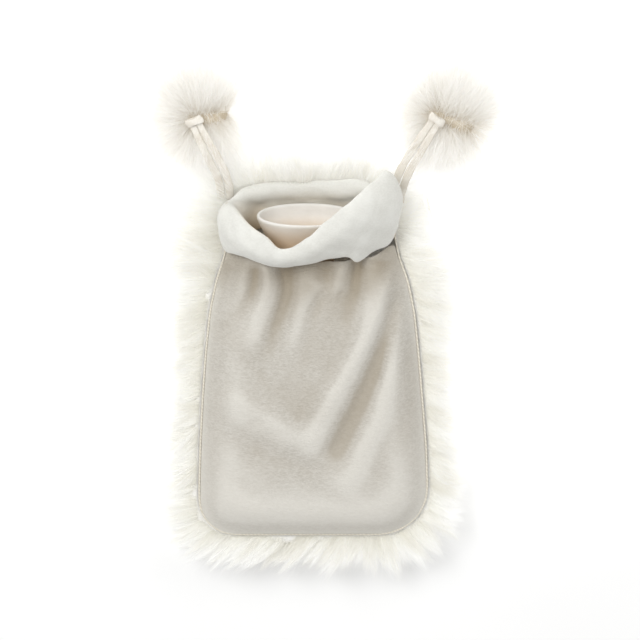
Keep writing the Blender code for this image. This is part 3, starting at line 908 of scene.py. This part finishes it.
def rimHairs(at, across, strand):
    # roots, first and last directions and lengths of hairs, at shares of the seam and across the roll
    count = len(seamPlan)
    where = (at * count).astype(int) % count
    plan, out = seamPlan[where], seamNormal[where]
    tangent = np.column_stack([-out[:, 1], out[:, 0]])
    x, y = plan[:, 0], plan[:, 1]
    height, pile = alongSeam(3, y), alongSeam(4, y)
    steps = [0, 0.25, 0.5, 0.75, 1]
    reach = np.interp(across, steps, [-0.02, 0.10, 0.24, 0.31, 0.28]) * pile
    level = np.interp(across, steps, [0.95, 0.96, 0.80, 0.45, 0.14]) * height
    lift = np.interp(across, steps, [34, 27, 14, 0, -6])
    roots = np.column_stack([plan + out * reach[:, None], level])
    foot = np.clip((-y - 118) / 45, 0, 1)
    head = np.clip((y - 150) / 30, 0, 1)
    lift = np.radians(lift + furLook["shoulderLift"] * head * (x < 0) * (1 - across))
    combX = foot * fromTable("comb", 1, x) + head * 0.15 * np.sign(x)
    combY = (1 - foot) * (1 - head) * np.where(x > 0, -0.30, -0.24)
    combY += 0.10 * np.clip((y - 95) / 50, 0, 1) * (x < 0)
    comb = np.column_stack([combX, combY])
    sway = strand["sway"][:, None] * tangent
    wave = 0.10 * np.sin(at * 61 + 1.3) + 0.07 * np.sin(at * 163 + across * 2)
    flat = unit(out + comb + sway + wave[:, None] * tangent)
    first = unit(np.column_stack([flat * np.cos(lift)[:, None], np.sin(lift) + 0.10 * strand["rise"]]))
    droop = np.interp(across, [0, 0.5, 1], [-0.34, -0.30, -0.06]) * (1 - 0.4 * head) + strand["rise"]
    last = unit(np.column_stack([unit(out + comb * 1.5 + sway * 1.5), droop]))
    side = np.where(x < 0, fromTable("length", 1, y), fromTable("length", 2, y))
    length = (pile * 1.10 * side - reach * 0.8) * strand["length"]
    length = length * np.interp(across, steps, [1, 1, 0.94, 0.84, 0.75]) * (1 + 0.14 * foot)
    return roots, first, last, length


def growRim(part, low, high, seed):
    # one stretch of the fur round the seam: hairs in locks, some of them loose
    look = furParts[part]
    count = int(look["hairs"] * hairShare)
    rng = np.random.default_rng(seed)
    locks = int((high - low) * seamRound / look["every"])
    lockAt = rng.uniform(low, high, locks)
    lockAcross = rng.uniform(0, 1, locks) ** 1.7
    lockLook = {
        "sway": rng.normal(0, look["sway"], locks), "rise": rng.normal(0, 0.10, locks),
        "length": rng.uniform(0.68, 1.10, locks),
    }
    lockPaths = arcs(*rimHairs(lockAt, lockAcross, lockLook))
    owner = rng.integers(0, locks, count)
    at = lockAt[owner] + rng.normal(0, 3.2 / seamRound, count)
    across = np.clip(lockAcross[owner] + rng.normal(0, 0.10, count), 0, 1)
    loose = rng.random(count) < 0.12
    strand = {
        "sway": lockLook["sway"][owner] + rng.normal(0, 0.10, count) + loose * rng.normal(0, 0.30, count),
        "rise": lockLook["rise"][owner] + rng.normal(0, 0.08, count) + loose * rng.normal(0.06, 0.16, count),
        "length": lockLook["length"][owner] * rng.uniform(0.42, 1.06, count) * np.where(loose, 1.20, 1.0),
    }
    paths = arcs(*rimHairs(at, across, strand))
    pull = np.where(loose, 0.1, look["gather"])[:, None, None] * (np.linspace(0, 1, 4) ** 1.6)[None, :, None]
    ownShare = np.minimum(strand["length"] / lockLook["length"][owner], 1.0)[:, None, None]
    lockWay = lockPaths[owner]
    target = lockWay[:, :1] + (lockWay - lockWay[:, :1]) * ownShare + rng.normal(0, 0.8, (count, 1, 3))
    paths = paths * (1 - pull) + target * pull
    paths[:, 1:] += rng.normal(0, 0.25, (count, 3, 3))
    root, tip = paths[:, 0, 0], paths[:, -1, 0]
    kept = np.where(tip < furLook["farthest"], (furLook["farthest"] - root) / np.minimum(tip - root, -1), 1)
    paths = paths[:, :1] + (paths - paths[:, :1]) * kept[:, None, None]
    paths[:, :, 2] = np.maximum(paths[:, :, 2], 0.8 + 0.6 * rng.random((count, 1)))
    widths = furLook["width"] * rng.uniform(0.65, 1.15, count) * np.where(loose, 0.6, 1.0)
    tones = np.clip(rng.beta(2.0, 3.0, count) * 0.4 + (rng.random(locks) ** 2 * 0.7)[owner], 0, 1)
    return hairMesh(f"fur_{part}", paths, widths, tones, backFur)


def shareNear(x, y):
    # how far round the seam a place is, from 0 to 1
    return float(np.argmin(np.linalg.norm(seamPlan - np.array([x, y]), axis=1))) / len(seamPlan)


backing = newObject("furBacking", backingMesh(), skin)
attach(backing, "root")
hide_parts("back_panel")
log("fur backing")

hairShare = furLook["full"]
cornerLeft, cornerRight = shareNear(-122, -128), shareNear(124, -124)
shoulderRight, shoulderLeft = shareNear(90, 120), shareNear(-90, 120)
# a turn is taken off where the closed end runs over the outline's own start
before = 1 if cornerLeft > cornerRight else 0
spans = {
    "foot": (cornerLeft - before, cornerRight), "sideRight": (cornerRight, shoulderRight),
    "head": (shoulderRight, shoulderLeft), "sideLeft": (shoulderLeft, cornerLeft + 1 - before),
}
for k, (part, (low, high)) in enumerate(spans.items()):
    fur = growRim(part, low, high, furLook["seed"] + k)
    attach(fur, "root")
log("rim fur")


# hairs, half the width and the two ends that they grow over, their root's height and length, in mm
underLook = {
    "hairs": 9000, "half": 118, "foot": -172, "head": 185, "root": 4.6, "length": (22, 36), "seed": 41,
}


def growUnder(count):
    # pile pressed flat under the cover, combed to the closed end
    look = underLook
    rng = np.random.default_rng(look["seed"])
    x = rng.uniform(-look["half"], look["half"], count)
    y = rng.uniform(look["foot"], look["head"], count)
    roots = np.column_stack([x, y, np.full(count, look["root"])])
    first = unit(np.column_stack([rng.normal(0, 0.3, count), -np.ones(count), np.full(count, -0.35)]))
    last = unit(np.column_stack([rng.normal(0, 0.35, count) + x * 0.002, -np.ones(count), np.zeros(count)]))
    paths = arcs(roots, first, last, rng.uniform(*look["length"], count))
    paths[:, :, 2] = np.clip(paths[:, :, 2], 0.9, look["root"])
    return hairMesh("fur_under", paths, 1.4 * rng.uniform(0.6, 1.0, count), rng.random(count), backFur)


under = growUnder(int(underLook["hairs"] * hairShare))
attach(under, "root")
log("fur underneath")

# Seam
seamLook = {"inset": 3.4, "radius": 1.15, "rise": 2.0, "around": 260}


def seamTube():
    # the sewn edge between the front and the fur, a thin closed roll
    line, normal = seamLine(seamLook["around"])
    level = alongSeam(3, line[:, 1]) + seamLook["rise"]
    route = np.column_stack([line - normal * seamLook["inset"], level]) * mm
    path = bpy.data.curves.new("seamEdge", "CURVE")
    path.dimensions = "3D"
    path.bevel_depth = seamLook["radius"] * mm
    path.bevel_resolution = 1
    spline = path.splines.new("POLY")
    spline.points.add(len(route) - 1)
    for point, place in zip(spline.points, route):
        point.co = (*place, 1)
    spline.use_cyclic_u = True
    return newObject("seamEdge", curveMesh("seamEdge", path), seamMaterial)


seam = seamTube()
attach(seam, "root")
log("seam")

# Pompoms
pompomLook = {
    # the parting runs this far from the knot in x and y, mm
    "left": {"centre": (-110.4, 266.3), "knot": (-115.0, 262.5), "parting": (38, 5), "seed": 71},
    "right": {"centre": (136.0, 264.3), "knot": (121.5, 266.0), "parting": (34, -12), "seed": 72},
    # half sizes of the ball that the hair grows from, its middle's height, the hair's length and how
    # far from the middle any hair reaches, all in mm
    "core": (27.0, 26.0, 17.5),
    "middle": 21.0,
    "length": (26, 50),
    "reach": 67.0,
    "width": 0.34,
    "hairs": 17000,
    "locks": 900,
    # the hair keeps this far below the straps, less so beyond their sides
    "belowTie": 5.5,
    "tieSide": 6.0,
}
knotLook = {
    # the point of the tie's fine route that the knot is at
    "at": 37,
    # half width of each turn in mm, and how far it leans across the straps in radians
    "turns": [(6.9, -0.10), (7.7, 0.17)],
    # half thickness and half height of the strap in each turn, and how flat the turns are pressed
    "thick": 1.4, "high": 3.1, "flat": 0.55,
}


def tieLine(side):
    # the middle of a tie, finely
    shift = np.array([tieLook["shiftX"], tieLook["shiftY"], 0])
    return curveThrough(tieLook[side], tieLook["finePoints"]) + shift


def underTie(route, places):
    # how high the pompom may stand below its straps
    away = np.linalg.norm(route[None, :, :2] - places[:, None, :2], axis=2)
    ceiling = route[away.argmin(axis=1), 2] - pompomLook["belowTie"]
    return ceiling + 0.02 * np.maximum(away.min(axis=1) - pompomLook["tieSide"], 0) ** 2


def coreMesh(name, centre, route):
    # the slightly lumpy ball that the hair grows from
    work = bmesh.new()
    bmesh.ops.create_uvsphere(work, u_segments=40, v_segments=24, radius=1.0)
    half = pompomLook["core"]
    for v in work.verts:
        n = v.co.copy()
        lump = 1 + 0.05 * math.sin(4 * n.x + 2 * n.y) * math.cos(3 * n.z + n.x)
        place = np.array([
            n.x * half[0] * lump + centre[0],
            n.y * half[1] * lump + centre[1],
            n.z * half[2] + pompomLook["middle"],
        ])
        place[2] = min(place[2], underTie(route, place[None])[0])
        v.co = Vector(place) * mm
    return meshFrom(work, name)


def pompomHairs(look, route, normals, sway):
    # hairs stand off the ball and lie away from the parting
    roots = np.array([*look["centre"], pompomLook["middle"]]) + normals * np.array(pompomLook["core"])
    knot, parting = np.array(look["knot"]), np.array(look["parting"])
    t = np.clip((roots[:, :2] - knot) @ parting / (parting @ parting), 0, 1)
    offset = roots[:, :2] - knot - t[:, None] * parting
    near = np.linalg.norm(offset, axis=1)
    radial = np.column_stack([unit(offset), 0 * near])
    roots[:, 2] = np.minimum(roots[:, 2], underTie(route, roots))
    lean = np.clip(near / 24, 0.12, 1)[:, None]
    first = unit(normals * (0.80 * lean + 0.12) + radial * 0.60 + sway)
    last = unit(radial + normals * np.array([0.35, 0.35, 0.15]) + sway * 1.6)
    return roots, first, last, near


def growPompom(side):
    # a ball of hairs in locks, parted beside its knot
    look = pompomLook[side]
    seed, locks = look["seed"], pompomLook["locks"]
    count = int(pompomLook["hairs"] * hairShare)
    rng = np.random.default_rng(seed)
    route = tieLine(side)
    lockNormal = unit(rng.normal(0, 1, (locks, 3)))
    lockNormal[:, 2] = np.where(lockNormal[:, 2] < -0.5, -lockNormal[:, 2], lockNormal[:, 2])
    lockSway = rng.normal(0, 0.20, (locks, 3)) * np.array([1, 1, 0.5])
    around = np.arctan2(lockNormal[:, 1], lockNormal[:, 0])
    uneven = 1 + 0.16 * np.sin(3 * around + seed) + 0.12 * np.sin(7 * around + 2 * seed)
    lockLong = rng.uniform(*pompomLook["length"], locks) * uneven
    lockPaths = arcs(*pompomHairs(look, route, lockNormal, lockSway)[:3], lockLong)
    owner = rng.integers(0, locks, count)
    normal = unit(lockNormal[owner] + rng.normal(0, 0.13, (count, 3)))
    loose = rng.random(count) < 0.14
    sway = lockSway[owner] + rng.normal(0, 0.08, (count, 3))
    sway = sway + loose[:, None] * rng.normal(0, 0.25, (count, 3))
    long = lockLong[owner] * rng.uniform(0.5, 1.05, count) * np.where(loose, 1.25, 1.0)
    roots, first, last, near = pompomHairs(look, route, normal, sway)
    kept = (near > 3.5) | (normal[:, 2] < 0.3) | (rng.random(count) < 0.15)
    paths = arcs(roots, first, last, long)
    pull = np.where(loose, 0.1, 0.45)[:, None, None] * (np.linspace(0, 1, 4) ** 1.5)[None, :, None]
    paths = paths * (1 - pull) + (lockPaths[owner] + rng.normal(0, 0.9, (count, 1, 3))) * pull
    paths[:, 1:] += rng.normal(0, 0.3, (count, 3, 3))
    far = np.linalg.norm(paths[:, -1, :2] - np.array(look["centre"]), axis=1)
    paths = paths[:, :1] + (paths - paths[:, :1]) * np.minimum(1, pompomLook["reach"] / far)[:, None, None]
    paths[:, :, 2] = np.maximum(paths[:, :, 2], 0.8 + 0.5 * rng.random((count, 1)))
    widths = pompomLook["width"] * rng.uniform(0.65, 1.15, count) * np.where(loose, 0.6, 1.0)
    tones = np.clip(rng.beta(2, 3, count) * 0.6 + (rng.random(locks) * 0.5)[owner], 0, 1)
    name = f"pompomCore_{side}"
    core = newObject(name, coreMesh(name, look["centre"], route), pompomSkin)
    return core, hairMesh(f"pompomFur_{side}", paths[kept], widths[kept], tones[kept], pompomFur)


def knotMesh(side):
    # two turns of strap round both straps, one across the other
    route, at = tieLine(side), knotLook["at"]
    run = Vector(route[at + 1] - route[at - 1])
    work = bmesh.new()
    for half, lean in knotLook["turns"]:
        turn = bmesh.new()
        ring = bmesh.ops.create_circle(turn, segments=12, radius=1.0)
        for v in ring["verts"]:
            v.co = Vector((half + v.co.x * knotLook["thick"], 0, v.co.y * knotLook["high"]))
        bmesh.ops.spin(
            turn, geom=turn.verts[:] + turn.edges[:], cent=(0, 0, 0), axis=(0, 0, 1), steps=40,
            angle=math.tau, use_merge=True, use_normal_flip=False,
        )
        bmesh.ops.remove_doubles(turn, verts=turn.verts, dist=0.001)
        bmesh.ops.recalc_face_normals(turn, faces=turn.faces)
        for v in turn.verts:
            v.co.z += v.co.x * math.tan(lean)
            v.co.y *= knotLook["flat"]
        made = bpy.data.meshes.new("knotTurn")
        turn.to_mesh(made)
        turn.free()
        work.from_mesh(made)
        bpy.data.meshes.remove(made)
    turned = run.to_track_quat("Z", "Y").to_matrix().to_4x4()
    placed = Matrix.Translation(Vector(route[at]) * mm) @ turned @ Matrix.Scale(mm, 4)
    bmesh.ops.transform(work, verts=work.verts, matrix=placed)
    return newObject(f"tieKnot_{side}", meshFrom(work, f"tieKnot_{side}"), suede)


def lengthOf(path):
    return float(np.linalg.norm(np.diff(path, axis=0), axis=1).sum())


for side in ("left", "right"):
    core, fur = growPompom(side)
    knot = knotMesh(side)
    for piece in (core, fur, knot):
        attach(piece, "root")
    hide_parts(f"pompom_{side}")
    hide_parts(f"knot_{side}")
    for strap in ("outer", "inner"):
        obj, path = straps[side, strap]
        lengthOf(path)
log("pompoms")

# Floor
work = bmesh.new()
bmesh.ops.create_grid(work, x_segments=2, y_segments=2, size=studio["floorHalf"])
floorPiece = newObject("floor", meshFrom(work, "floor"), floorFinish())

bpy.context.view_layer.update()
log("sizes written")
